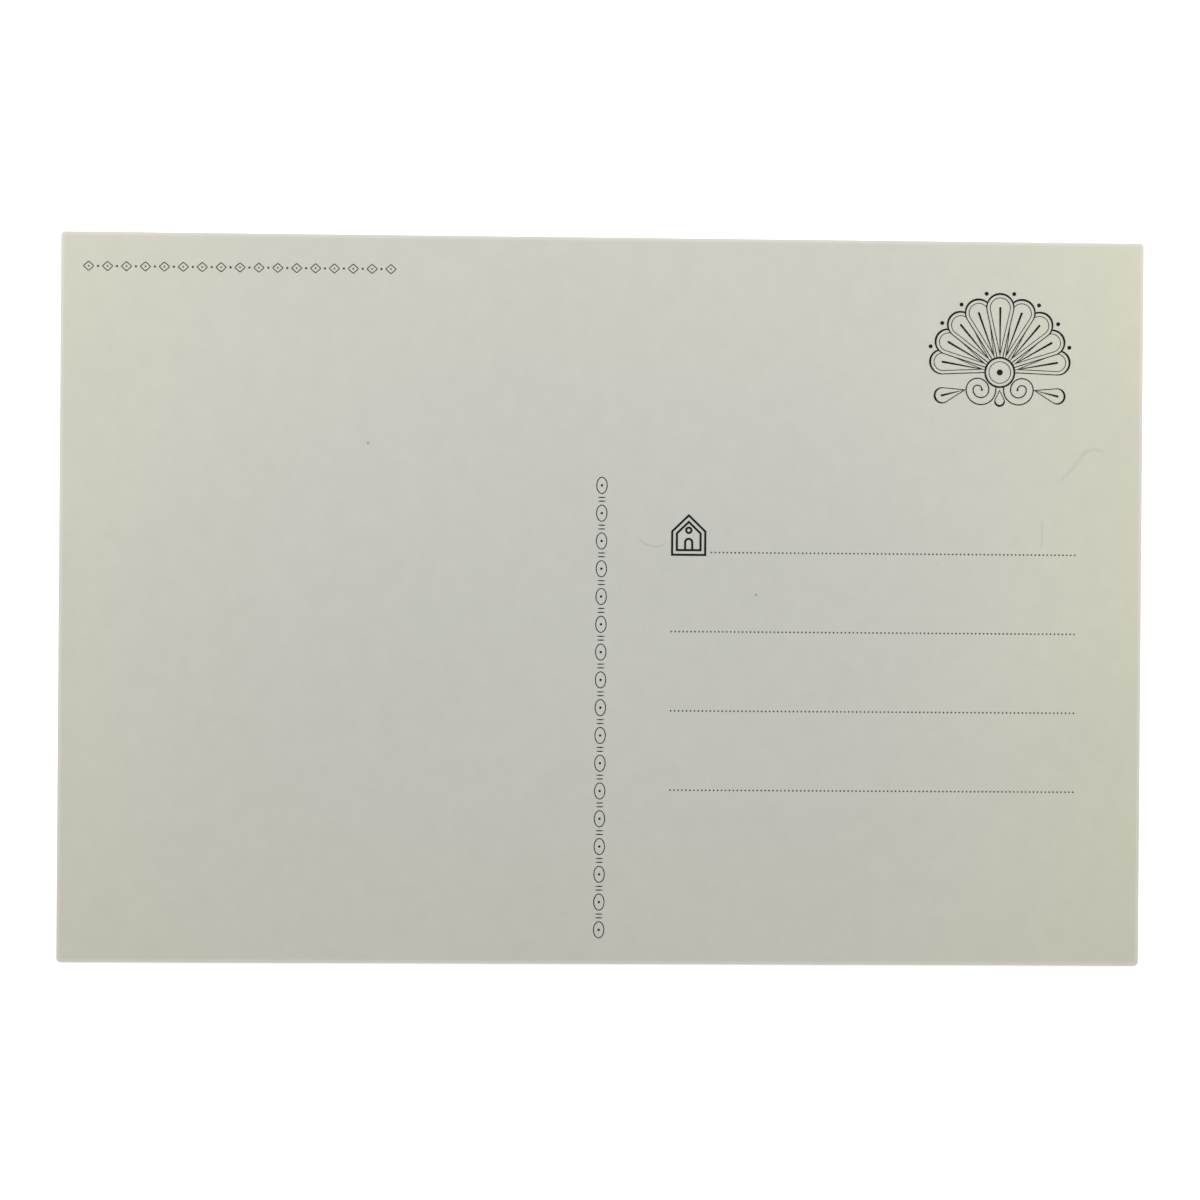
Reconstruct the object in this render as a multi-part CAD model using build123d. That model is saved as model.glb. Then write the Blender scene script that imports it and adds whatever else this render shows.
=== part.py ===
from build123d import *
from math import asin, cos, floor, hypot, sin
import os

# A postcard lying picture side down, with its address side up. The card is a board of three bonded
# plies, coated on one side. Below the plies lie a clay coat, the printed picture and a clear gloss
# film, and on the bare paper above them lie the printed lines, rules, mark and stamp ornament.
# Sizes are in millimetres. The origin is the middle of the picture-side face, +X runs along the long
# edge to the right as the address side is read, +Y runs up the address side and +Z out of it.

# Trimmed card
CARD_LENGTH = 152.0
CARD_HEIGHT = 102.0
CORNER_RADIUS = 0.6  # corners blunted by handling
EDGE_ROUND = 0.04  # wear on the upper edge of the address ply

# Layers through the thickness, from the picture side up
GLOSS_FILM = 0.015
PICTURE_INK = 0.01
CLAY_COAT = 0.02
PICTURE_PLY = 0.075
CORE_PLY = 0.2
ADDRESS_PLY = 0.08

# Ink on the address side, drawn thicker than the real film so that it stays a solid
INK_FILM = 0.02

# Four dotted address lines in the right-hand half
LINE_COUNT = 4
LINE_PITCH = 11.14
FIRST_LINE_RISE = 6.9  # first line above the card's middle
LINE_INSET = 9.5  # left-hand limit of the lines, from the card's middle
LINE_MARGIN = 9.47  # last dots from the card's right-hand edge
DOT_DIAMETER = 0.27
DOT_PITCH = 0.558

# House mark at the start of the first address line
MARK_WIDTH = 4.95
EAVES_HEIGHT = 3.5
ROOF_RISE = 2.4
MARK_DROP = 0.5  # foot of the house below the line of dots
MARK_GAP = 0.6  # between the house and the dots
MARK_STROKE = 0.3
MARK_SPACING = 0.36  # between the two lines of the walls
DOOR_WIDTH = 1.3
DOOR_SPRING = 1.9  # height where the door's arch begins
WINDOW_RADIUS = 0.52
WINDOW_RISE = 0.1  # middle of the window above the eaves

# Upright bead-and-reel rule that divides the address side near the middle
DIVIDER_LENGTH = 64.8
DIVIDER_SHIFT = 0.27  # to the left of the card's middle
DIVIDER_MARGIN = 3.6  # lower end from the card's lower edge
BEAD_LENGTH = 2.4
BEAD_WIDTH = 1.6
BEAD_STROKE = 0.14
BEAD_EYE = 0.18
REEL_LENGTH = 0.17
REEL_WIDTH = 1.1
REEL_GAP = 0.36

# Lozenge-and-pearl rule at the top left
CAPTION_LENGTH = 43.8
CAPTION_MARGIN_LEFT = 3.0
CAPTION_MARGIN_TOP = 4.05
LOZENGE_LENGTH = 1.7
LOZENGE_WIDTH = 1.5
LOZENGE_STROKE = 0.15
LOZENGE_EYE = 0.13
PEARL_DIAMETER = 0.34
PEARL_GAP = 0.26

# Palmette in the stamp's place: a fan of lobes round a boss, over a pair of scrolls
STAMP_MARGIN_RIGHT = 10.2
STAMP_MARGIN_TOP = 7.05
SIDE_LOBES = 4
LOBE_ANGLE = 20.0
TOP_LOBE_LENGTH = 9.2
SIDE_LOBE_LENGTH = 8.35
TOP_LOBE_RADIUS = 2.0
SIDE_LOBE_RADIUS = 1.8
VEIN_RADIUS = 0.15  # round end of a vein
HEAVY_STROKE = 0.16
FINE_STROKE = 0.1
TIP_SWELL = 0.13  # a heavy line swells by this at a drop's round end
LINE_SPACING = 0.36  # between a heavy line and the fine one inside it
BERRY_RADIUS = 0.28
BERRY_RISE = 0.3  # berries beyond the tips of the lobes
BOSS_RADIUS = 2.2
BOSS_STROKE = 0.26
BOSS_EYE = 0.42
SCROLL_RADIUS = 2.1
SCROLL_EYE = 0.62  # radius of the last half turn
SCROLL_HALF_TURNS = 4
STEM_SPREAD = 1.1  # between the scrolls' stems
STEM_LENGTH = 2.45
LEAF_LENGTH = 3.55
LEAF_RADIUS = 1.15
LEAF_ANGLE = 104.0  # from upright
BUD_LENGTH = 1.65
BUD_RADIUS = 0.75

LAYERS = {
    "gloss_film": GLOSS_FILM,
    "picture_ink": PICTURE_INK,
    "clay_coat": CLAY_COAT,
    "picture_ply": PICTURE_PLY,
    "core_ply": CORE_PLY,
    "address_ply": ADDRESS_PLY,
}
CARD_THICKNESS = sum(LAYERS.values())
RIGHT_EDGE = CARD_LENGTH / 2
TOP_EDGE = CARD_HEIGHT / 2


def bonded_layers():
    """The plies and coatings, trimmed together, each lying on the one below it."""
    layers = {}
    floor_height = 0.0
    for name, thickness in LAYERS.items():
        outline = RectangleRounded(CARD_LENGTH, CARD_HEIGHT, CORNER_RADIUS)
        layers[name] = extrude(Pos(0, 0, floor_height) * outline, thickness)
        floor_height += thickness
    upper_face = layers["address_ply"].faces().sort_by(Axis.Z)[-1]
    layers["address_ply"] = fillet(upper_face.edges(), EDGE_ROUND)
    return layers


def ink(design):
    """A flat design laid on the address side as a film of ink."""
    return extrude(Pos(0, 0, CARD_THICKNESS) * design, INK_FILM)


def dotted_line(left, height):
    """A row of round dots that ends at the right-hand margin and reaches back to the left limit."""
    right = RIGHT_EDGE - LINE_MARGIN
    count = floor((right - left) / DOT_PITCH) + 1
    return Sketch() + [Pos(right - i * DOT_PITCH, height) * Circle(DOT_DIAMETER / 2) for i in range(count)]


def address_lines():
    """The dotted lines; the first one starts right of the house mark."""
    lines = {}
    for i in range(LINE_COUNT):
        left = LINE_INSET + MARK_WIDTH + MARK_GAP if i == 0 else LINE_INSET
        lines[f"address_line_{i + 1}"] = dotted_line(left, FIRST_LINE_RISE - i * LINE_PITCH)
    return lines


def inset_walls(walls, inset):
    """The outline of the house moved in evenly, with its corners kept sharp."""
    return offset(walls, -inset, kind=Kind.INTERSECTION)


def arched_door(width):
    """A door opening with a round arch, standing on the inner line of the walls."""
    sill = MARK_STROKE + MARK_SPACING
    height = DOOR_SPRING - sill
    return Pos(0, sill + height / 2) * Rectangle(width, height) + Pos(0, DOOR_SPRING) * Circle(width / 2)


def house_mark():
    """A house with a pitched roof, a double line for its walls, an arched door and a round window."""
    half = MARK_WIDTH / 2
    ridge = EAVES_HEIGHT + ROOF_RISE
    corners = [(-half, 0), (half, 0), (half, EAVES_HEIGHT), (0, ridge), (-half, EAVES_HEIGHT)]
    walls = Polygon(*corners, align=None)
    mark = walls - inset_walls(walls, MARK_STROKE) + inset_walls(walls, MARK_STROKE + MARK_SPACING)
    mark -= inset_walls(walls, 2 * MARK_STROKE + MARK_SPACING)
    mark += arched_door(DOOR_WIDTH) - arched_door(DOOR_WIDTH - 2 * MARK_STROKE)
    window = Circle(WINDOW_RADIUS) - Circle(WINDOW_RADIUS - MARK_STROKE)
    mark += Pos(0, EAVES_HEIGHT + WINDOW_RISE) * window
    return Pos(LINE_INSET + half, FIRST_LINE_RISE - MARK_DROP) * mark


def spread(length, item, least_pitch):
    """Centres of like items along a rule, evenly spaced so that the first and last fill its length."""
    spaces = floor((length - item) / least_pitch)
    return [(item - length) / 2 + i * (length - item) / spaces for i in range(spaces + 1)]


def divider_rule():
    """Ringed beads with a pair of narrow reels between neighbours, upright near the card's middle."""
    reel_pair = 2 * REEL_LENGTH + REEL_GAP
    centres = spread(DIVIDER_LENGTH, BEAD_LENGTH, BEAD_LENGTH + reel_pair + 2 * REEL_GAP)
    bead = Ellipse(BEAD_LENGTH / 2, BEAD_WIDTH / 2)
    bead -= Ellipse(BEAD_LENGTH / 2 - BEAD_STROKE, BEAD_WIDTH / 2 - BEAD_STROKE)
    bead += Circle(BEAD_EYE)
    reel = Ellipse(REEL_LENGTH / 2, REEL_WIDTH / 2)
    reel_shift = (REEL_LENGTH + REEL_GAP) / 2
    reels = Pos(-reel_shift, 0) * reel + Pos(reel_shift, 0) * reel
    rule = Sketch() + [Pos(x, 0) * bead for x in centres]
    rule += [Pos((x + beyond) / 2, 0) * reels for x, beyond in zip(centres, centres[1:])]
    middle = DIVIDER_MARGIN + DIVIDER_LENGTH / 2 - TOP_EDGE
    return Pos(-DIVIDER_SHIFT, middle) * Rot(0, 0, 90) * rule


def caption_rule():
    """Outlined lozenges with an eye in each and a pearl between neighbours."""
    half_length = LOZENGE_LENGTH / 2
    half_width = LOZENGE_WIDTH / 2
    shrink = 1 - LOZENGE_STROKE * hypot(half_length, half_width) / (half_length * half_width)
    corners = [(half_length, 0), (0, half_width), (-half_length, 0), (0, -half_width)]
    lozenge = Polygon(*corners, align=None)
    lozenge -= scale(lozenge, shrink)
    lozenge += Circle(LOZENGE_EYE)
    centres = spread(CAPTION_LENGTH, LOZENGE_LENGTH, LOZENGE_LENGTH + PEARL_DIAMETER + 2 * PEARL_GAP)
    rule = Sketch() + [Pos(x, 0) * lozenge for x in centres]
    pearl = Circle(PEARL_DIAMETER / 2)
    rule += [Pos((x + beyond) / 2, 0) * pearl for x, beyond in zip(centres, centres[1:])]
    left = CAPTION_MARGIN_LEFT + CAPTION_LENGTH / 2 - RIGHT_EDGE
    return Pos(left, TOP_EDGE - CAPTION_MARGIN_TOP - half_width) * rule


def drop(length, tip_radius, inset=0.0):
    """A drop shrunk evenly by inset; before that its point is the origin, and the middle of its
    round end lies at length up the Y axis."""
    radius = tip_radius - inset
    point = length * inset / tip_radius
    lean = asin(tip_radius / length)
    side = radius * cos(lean)
    shoulder = length - radius * sin(lean)
    right_side = Line((0, point), (side, shoulder))
    tip = ThreePointArc((side, shoulder), (0, length + radius), (-side, shoulder))
    left_side = Line((-side, shoulder), (0, point))
    return make_face([right_side, tip, left_side])


def drop_outline(length, tip_radius):
    """A drop drawn as a heavy line that swells at the round end."""
    return drop(length, tip_radius) - Pos(0, -TIP_SWELL) * drop(length, tip_radius, HEAVY_STROKE)


def line_lobe(length, tip_radius):
    """A lobe of the fan: a heavy outline, a fine line inside it and a vein that ends in a knob."""
    fine_line = HEAVY_STROKE + LINE_SPACING
    inside = drop(length, tip_radius, fine_line) - drop(length, tip_radius, fine_line + FINE_STROKE)
    inside += drop(length, VEIN_RADIUS)
    return drop_outline(length, tip_radius) + Pos(0, -TIP_SWELL) * inside


def line_boss():
    """The round boss at the foot of the fan, drawn as a bold and a fine line."""
    fine_line = BOSS_RADIUS - BOSS_STROKE - LINE_SPACING
    drawing = Circle(BOSS_RADIUS) - Circle(BOSS_RADIUS - BOSS_STROKE)
    drawing += Circle(fine_line) - Circle(fine_line - FINE_STROKE)
    return drawing + Circle(BOSS_EYE)


def half_ring(start, end, height, side):
    """Half a turn of a scroll between two points of a level line, over it (1) or under it (-1)."""
    middle = (start + end) / 2
    radius = abs(end - start) / 2
    outer, inner = [CenterArc((middle, height), radius + shift, 0, side * 180)
                    for shift in (HEAVY_STROKE / 2, -HEAVY_STROKE / 2)]
    ends = [Line(inner @ i, outer @ i) for i in (0, 1)]
    return make_face([outer, inner, *ends])


def scroll():
    """The right-hand scroll: a stem down from the fan, then half turns that close in on an eye."""
    x = STEM_SPREAD / 2
    drawing = Pos(x, -STEM_LENGTH / 2) * Rectangle(HEAVY_STROKE, STEM_LENGTH)
    step = (SCROLL_RADIUS - SCROLL_EYE) / (SCROLL_HALF_TURNS - 1)
    for i in range(SCROLL_HALF_TURNS):
        way = 1 if i % 2 == 0 else -1
        beyond = x + way * 2 * (SCROLL_RADIUS - i * step)
        drawing += half_ring(x, beyond, -STEM_LENGTH, -way)
        x = beyond
    return drawing + Pos(x, -STEM_LENGTH) * Circle(HEAVY_STROKE)


def palmette():
    """Scrolls, leaves and a bud under a fan of lobes, where each piece hides what lies behind it."""
    right_scroll = scroll()
    art = right_scroll + mirror(right_scroll, Plane.YZ)
    art += Pos(0, -STEM_LENGTH) * Rot(0, 0, 180) * drop_outline(BUD_LENGTH, BUD_RADIUS)
    leaf = drop_outline(LEAF_LENGTH, LEAF_RADIUS) + drop(LEAF_LENGTH, VEIN_RADIUS)
    leaf_root = STEM_SPREAD / 2 + 2 * SCROLL_RADIUS
    for way in (-1, 1):
        art += Pos(way * leaf_root, -STEM_LENGTH) * Rot(0, 0, -way * LEAF_ANGLE) * leaf
    for i in range(SIDE_LOBES, -1, -1):
        share = i / SIDE_LOBES
        length = TOP_LOBE_LENGTH + share * (SIDE_LOBE_LENGTH - TOP_LOBE_LENGTH)
        radius = TOP_LOBE_RADIUS + share * (SIDE_LOBE_RADIUS - TOP_LOBE_RADIUS)
        berry = Pos(0, length + radius + BERRY_RISE) * Circle(BERRY_RADIUS)
        for way in (-1, 1):
            turn = Rot(0, 0, -way * i * LOBE_ANGLE)
            art -= turn * drop(length, radius)
            art += turn * line_lobe(length, radius)
            if i > 0:
                art += Rot(0, 0, -way * (i - 0.5) * LOBE_ANGLE) * berry
    art -= Circle(BOSS_RADIUS)
    return art + line_boss()


def stamp_ornament():
    """The palmette, set in from the card's right and top edges."""
    art = palmette()
    reach = art.bounding_box().max
    return Pos(RIGHT_EDGE - STAMP_MARGIN_RIGHT - reach.X, TOP_EDGE - STAMP_MARGIN_TOP - reach.Y) * art


printed = address_lines()
printed["address_mark"] = house_mark()
printed["divider_rule"] = divider_rule()
printed["caption_rule"] = caption_rule()
printed["stamp_ornament"] = stamp_ornament()

os.makedirs("parts", exist_ok=True)
for name, layer in bonded_layers().items():
    export_step(layer, f"parts/{name}.step")
for name, design in printed.items():
    export_step(ink(design), f"parts/{name}.step")
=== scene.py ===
import math

import bpy
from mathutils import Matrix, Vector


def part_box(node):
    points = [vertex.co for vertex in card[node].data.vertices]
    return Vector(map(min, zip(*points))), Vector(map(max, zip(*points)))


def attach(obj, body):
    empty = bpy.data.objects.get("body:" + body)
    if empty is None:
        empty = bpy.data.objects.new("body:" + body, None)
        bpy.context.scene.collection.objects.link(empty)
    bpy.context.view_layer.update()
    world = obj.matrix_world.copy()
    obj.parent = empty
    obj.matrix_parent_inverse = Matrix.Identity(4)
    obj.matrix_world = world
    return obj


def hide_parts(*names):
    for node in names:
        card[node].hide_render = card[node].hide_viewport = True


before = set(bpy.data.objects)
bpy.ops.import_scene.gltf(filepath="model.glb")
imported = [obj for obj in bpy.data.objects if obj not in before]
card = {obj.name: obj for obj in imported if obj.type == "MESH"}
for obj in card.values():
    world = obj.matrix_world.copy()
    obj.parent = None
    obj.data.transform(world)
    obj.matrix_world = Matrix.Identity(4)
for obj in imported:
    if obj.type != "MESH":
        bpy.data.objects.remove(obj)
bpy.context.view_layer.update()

# The inner plies of the board: a core of mixed pulp and a bleached ply on the picture side, couched
# together wet on the board machine, so that they show only as bands of fibre on the trimmed edge.
# Meshes are in metres, and patterns are sized in millimetres
MM = 0.001
CORE_PALE, CORE_DARK = "D3CFBF", "B9B3A0"
BLEACHED_PALE, BLEACHED_DARK = "DEDBCF", "CCC8BA"
EDGE_FIBRE_LENGTH, EDGE_FIBRE_WIDTH = 1.4, 0.05
EDGE_RELIEF, EDGE_BUMP = 0.01, 0.4
# Where in the fibre pattern the pulp is darkest and palest
FIBRE_DARK, FIBRE_PALE = 0.3, 0.7
PULP_ROUGHNESS, PULP_IOR = 0.9, 1.45


def linear(hex_colour):
    """An sRGB hex colour as linear RGBA."""
    shares = [int(hex_colour[i:i + 2], 16) / 255 for i in (0, 2, 4)]
    return [s / 12.92 if s <= 0.04045 else ((s + 0.055) / 1.055) ** 2.4 for s in shares] + [1.0]


def add(tree, kind, inputs=(), **settings):
    """Adds a node. An input is a value, a hex colour, or the node or socket that it is linked from, or a
    list of nodes for a socket that takes several."""
    made = tree.nodes.new(kind)
    for key, value in settings.items():
        setattr(made, key, value)
    for key, value in inputs.items() if isinstance(inputs, dict) else enumerate(inputs):
        socket = made.inputs[key] if isinstance(key, int) else next(
            s for s in made.inputs if s.enabled and s.name == key)
        for source in value if isinstance(value, list) else [value]:
            if isinstance(source, bpy.types.Node):
                source = next(s for s in source.outputs if s.enabled)
            if isinstance(source, bpy.types.NodeSocket):
                tree.links.new(source, socket)
            else:
                socket.default_value = linear(source) if isinstance(source, str) else source
    return made


def new_material(name):
    """A new material, its empty tree, and Object coordinates in millimetres for its patterns."""
    material = bpy.data.materials.new(name)
    material.use_nodes = True
    tree = material.node_tree
    tree.nodes.clear()
    place = add(tree, "ShaderNodeTexCoord").outputs["Object"]
    return material, tree, add(tree, "ShaderNodeVectorMath", {0: place, "Scale": 1 / MM}, operation="SCALE")


def give(node, material):
    """Puts a material on a CAD node."""
    node.data.materials.clear()
    node.data.materials.append(material)


def trimmed_ply(name, pale, dark):
    """Pulp cut through by the guillotine: matt, with short fibres lying along the edge."""
    material, tree, millimetres = new_material(name)
    stretch = (1 / EDGE_FIBRE_LENGTH, 1 / EDGE_FIBRE_LENGTH, 1 / EDGE_FIBRE_WIDTH)
    along = add(tree, "ShaderNodeVectorMath", [millimetres, stretch], operation="MULTIPLY")
    fibres = add(tree, "ShaderNodeTexNoise", {"Vector": along, "Scale": 1.0, "Detail": 3.0})
    shade = add(tree, "ShaderNodeMapRange", {"Value": fibres, "From Min": FIBRE_DARK,
                                             "From Max": FIBRE_PALE})
    colour = add(tree, "ShaderNodeMix", {"Factor": shade, "A": dark, "B": pale}, data_type="RGBA")
    bump = add(tree, "ShaderNodeBump", {"Strength": EDGE_BUMP, "Distance": EDGE_RELIEF * MM,
                                        "Height": fibres})
    pulp = add(tree, "ShaderNodeBsdfPrincipled",
               {"Base Color": colour, "Roughness": PULP_ROUGHNESS, "IOR": PULP_IOR, "Normal": bump})
    add(tree, "ShaderNodeOutputMaterial", {"Surface": pulp})
    return material


give(card["core_ply"], trimmed_ply("mixed_pulp_core", CORE_PALE, CORE_DARK))
give(card["picture_ply"], trimmed_ply("bleached_pulp_ply", BLEACHED_PALE, BLEACHED_DARK))

# The address ply: bare, calendered wood-free paper, the side that is written on. Its colour is painted
# lighter and warmer towards the trimmed edges, which is painted light, and a paler painted highlight runs
# along the cut rim; handling has left some dark specks and a few faint rubbed lines.
# The paper's own colour, then the lighter, warmer colour of the painted light at its edges, and the paler
# painted highlight on the rim
PAPER, PAPER_EDGE_LIGHT, RIM_HIGHLIGHT = "C7C7C0", "CECDBA", "DAD8CB"
FLECK = "5C5A52"
# Each trimmed edge: the axis across it, which way it faces, and how strongly painted light makes the paper
# lighter and warmer there
EDGES = [(0, -1, 0.65), (0, 1, 1.0), (1, -1, 0.4), (1, 1, 0.35)]
# How far in from the edges the painted light reaches, and how steeply it fades
EDGE_LIGHT_WIDTH, EDGE_LIGHT_FADE = 50.0, 1.7
# Patches where the painted edge light is stronger and weaker: their size, the least share of its strength,
# and what they add
DRIFT_SIZE, DRIFT_LEAST, DRIFT_GAIN = 38.0, 0.72, 0.5
# The painted highlight on the rim: how far in it starts, where it is full, and how strong it is
RIM_WIDTH, RIM_EDGE, RIM_STRENGTH = 0.65, 0.15, 0.85
FLOC_SIZE, TOOTH_SIZE = 3.2, 0.22
FIBRE_LENGTH, FIBRE_WIDTH, FIBRE_TURNS, FIBRE_CURL = 1.8, 0.14, (0.15, 1.2, 2.3), 0.6
# The darkest tone of the texture, and how far formation, fibres and drift lift it
DARKEST, FLOC_LIFT, FIBRE_LIFT, DRIFT_LIFT = 0.883, 0.09, 0.09, 0.05
PAPER_RELIEF, PAPER_BUMP, FIBRE_RELIEF = 0.012, 0.3, 0.8
PAPER_SMOOTH, PAPER_ROUGH = 0.72, 0.9
# Each speck: its place, radius and darkness
SPECKS = [((-33.1, 21.85), 0.18, 0.5), ((21.5, 1.0), 0.155, 0.62), ((-4.9, -44.0), 0.12, 0.22),
          ((-37.05, -42.7), 0.14, 0.16), ((8.45, 17.25), 0.1, 0.22), ((43.6, 42.9), 0.1, 0.2),
          ((-22.6, -39.8), 0.12, 0.17), ((47.05, 5.6), 0.1, 0.22)]
SPECK_SOFTNESS, SPECK_RAGGED = 0.08, 0.3
# Each rubbed line, an arc: the middle of its circle and its radius, the middle of the arc and how far it
# reaches from there, its half width and its darkness
RUBS = [((7.3, 10.9), 3.2, (6.6, 7.75), 2.4, 0.24, 0.27),
        ((48.95, 33.0), 22.0, (65.7, 18.9), 2.8, 0.45, 0.14),
        ((69.25, 19.5), 2.36, (68.4, 21.7), 2.5, 0.45, 0.18),
        ((44.0, 9.9), 17.9, (61.8, 9.9), 2.2, 0.25, 0.18)]
# The share of its reach past which a rubbed line fades
RUB_FULL = 0.55


def laid_strands(tree, millimetres, length, width, turns, curl):
    """Noise drawn out into strands that lie at each of the turns, one layer over another."""
    strands = 0.0
    for turn in turns:
        laid = add(tree, "ShaderNodeMapping", {"Vector": millimetres, "Rotation": (0, 0, turn),
                                               "Scale": (length, width, 1)}, vector_type="TEXTURE")
        layer = add(tree, "ShaderNodeTexNoise", {"Vector": laid, "Scale": 1.0, "Detail": 1.0,
                                                 "Distortion": curl})
        strands = add(tree, "ShaderNodeMath", [strands, layer], operation="MAXIMUM")
    return strands


# Uncoated wood-free paper: matt and faintly cloudy, with fibres and a fine tooth in a low light
paper, tree, millimetres = new_material("uncoated_wood_free_paper")
# Painted light: the paper is painted lighter and warmer towards its edges, fading inwards and uneven in
# patches
_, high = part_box("address_ply")
split = add(tree, "ShaderNodeSeparateXYZ", [millimetres])
from_rim = EDGE_LIGHT_WIDTH
edge_unlit = 1.0
for axis, way, strength in EDGES:
    inside = add(tree, "ShaderNodeMath", [split.outputs[axis], -way, high[axis] / MM],
                 operation="MULTIPLY_ADD")
    from_rim = add(tree, "ShaderNodeMath", [from_rim, inside], operation="MINIMUM")
    share = add(tree, "ShaderNodeMapRange", {"Value": inside, "From Min": EDGE_LIGHT_WIDTH, "From Max": 0.0})
    share = add(tree, "ShaderNodeMath", [share, EDGE_LIGHT_FADE], operation="POWER")
    share = add(tree, "ShaderNodeMath", [share, -strength, 1.0], operation="MULTIPLY_ADD")
    edge_unlit = add(tree, "ShaderNodeMath", [edge_unlit, share], operation="MULTIPLY")
edge_light = add(tree, "ShaderNodeMath", [1.0, edge_unlit], operation="SUBTRACT")
drift = add(tree, "ShaderNodeTexNoise", {"Vector": millimetres, "Scale": 1 / DRIFT_SIZE, "Detail": 2.0})
uneven = add(tree, "ShaderNodeMath", [drift, DRIFT_GAIN, DRIFT_LEAST], operation="MULTIPLY_ADD")
edge_light = add(tree, "ShaderNodeMath", [edge_light, uneven], operation="MULTIPLY", use_clamp=True)
colour = add(tree, "ShaderNodeMix", {"Factor": edge_light, "A": PAPER, "B": PAPER_EDGE_LIGHT}, data_type="RGBA")

# A painted highlight: a paler band painted along the trimmed rim
rim_highlight = add(tree, "ShaderNodeMapRange", {"Value": from_rim, "From Min": RIM_WIDTH, "From Max": RIM_EDGE,
                                       "To Max": RIM_STRENGTH}, interpolation_type="SMOOTHSTEP")
colour = add(tree, "ShaderNodeMix", {"Factor": rim_highlight, "A": colour, "B": RIM_HIGHLIGHT}, data_type="RGBA")

# Cloudy formation and single fibres; real fibres are 0.03 mm wide, drawn coarser so that they show
flocs = add(tree, "ShaderNodeTexNoise", {"Vector": millimetres, "Scale": 1 / FLOC_SIZE, "Detail": 4.0})
tooth = add(tree, "ShaderNodeTexNoise", {"Vector": millimetres, "Scale": 1 / TOOTH_SIZE, "Detail": 2.0})
fibres = laid_strands(tree, millimetres, FIBRE_LENGTH, FIBRE_WIDTH, FIBRE_TURNS, FIBRE_CURL)
grain = DARKEST
for pattern, lift in ((flocs, FLOC_LIFT), (fibres, FIBRE_LIFT), (drift, DRIFT_LIFT)):
    grain = add(tree, "ShaderNodeMath", [pattern, lift, grain], operation="MULTIPLY_ADD")
colour = add(tree, "ShaderNodeVectorMath", {0: colour, "Scale": grain}, operation="SCALE")

# Specks with ragged edges, and rubbed lines that fade at their ends and break up over the fibres
marks = 0.0
ragged = add(tree, "ShaderNodeMath", [tooth, SPECK_RAGGED, -SPECK_RAGGED / 2], operation="MULTIPLY_ADD")
for place, radius, darkness in SPECKS:
    away = add(tree, "ShaderNodeVectorMath", [millimetres, (*place, high.z / MM)], operation="DISTANCE")
    away = add(tree, "ShaderNodeMath", [away, ragged], operation="ADD")
    speck = add(tree, "ShaderNodeMapRange", {"Value": away, "From Min": radius + SPECK_SOFTNESS,
                                             "From Max": radius - SPECK_SOFTNESS, "To Max": darkness})
    marks = add(tree, "ShaderNodeMath", [marks, speck], operation="MAXIMUM")
for middle, radius, place, reach, half_width, darkness in RUBS:
    spoke = add(tree, "ShaderNodeVectorMath", [millimetres, (*middle, high.z / MM)], operation="DISTANCE")
    off_line = add(tree, "ShaderNodeMath", [spoke, radius], operation="SUBTRACT")
    off_line = add(tree, "ShaderNodeMath", [off_line], operation="ABSOLUTE")
    rubbed = add(tree, "ShaderNodeMapRange", {"Value": off_line, "From Min": half_width, "From Max": 0.0,
                                              "To Max": darkness}, interpolation_type="SMOOTHSTEP")
    along = add(tree, "ShaderNodeVectorMath", [millimetres, (*place, high.z / MM)], operation="DISTANCE")
    ends = add(tree, "ShaderNodeMapRange", {"Value": along, "From Min": reach,
                                            "From Max": reach * RUB_FULL}, interpolation_type="SMOOTHSTEP")
    ends = add(tree, "ShaderNodeMath", [ends, fibres], operation="MULTIPLY")
    rubbed = add(tree, "ShaderNodeMath", [rubbed, ends], operation="MULTIPLY")
    marks = add(tree, "ShaderNodeMath", [marks, rubbed], operation="MAXIMUM")
colour = add(tree, "ShaderNodeMix", {"Factor": marks, "A": colour, "B": FLECK}, data_type="RGBA")
relief = add(tree, "ShaderNodeMath", [fibres, FIBRE_RELIEF, tooth], operation="MULTIPLY_ADD")
bump = add(tree, "ShaderNodeBump", {"Strength": PAPER_BUMP, "Distance": PAPER_RELIEF * MM, "Height": relief})
matt = add(tree, "ShaderNodeMapRange", {"Value": flocs, "To Min": PAPER_SMOOTH, "To Max": PAPER_ROUGH})
sheet = add(tree, "ShaderNodeBsdfPrincipled",
            {"Base Color": colour, "Roughness": matt, "IOR": PULP_IOR, "Normal": bump})
add(tree, "ShaderNodeOutputMaterial", {"Surface": sheet})
give(card["address_ply"], paper)

# The clay coat: china clay and binder laid on the board by blade, which gives the picture ink a smooth
# white ground. It shows only as a thin white line low on the trimmed edge.
CLAY, CLAY_SHADE = "E9E8E2", "D9D7CE"
CLAY_GRAIN, CLAY_ROUGHNESS = 0.3, 0.55
# The clay's binder, the inks and the film are resins
RESIN_IOR = 1.5

# China clay: an even white, smoother than paper
clay, tree, millimetres = new_material("blade_coated_china_clay")
grain = add(tree, "ShaderNodeTexNoise", {"Vector": millimetres, "Scale": 1 / CLAY_GRAIN, "Detail": 3.0})
colour = add(tree, "ShaderNodeMix", {"Factor": grain, "A": CLAY_SHADE, "B": CLAY}, data_type="RGBA")
coat = add(tree, "ShaderNodeBsdfPrincipled", {"Base Color": colour, "Roughness": CLAY_ROUGHNESS,
                                              "IOR": RESIN_IOR})
add(tree, "ShaderNodeOutputMaterial", {"Surface": coat})
give(card["clay_coat"], clay)

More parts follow.
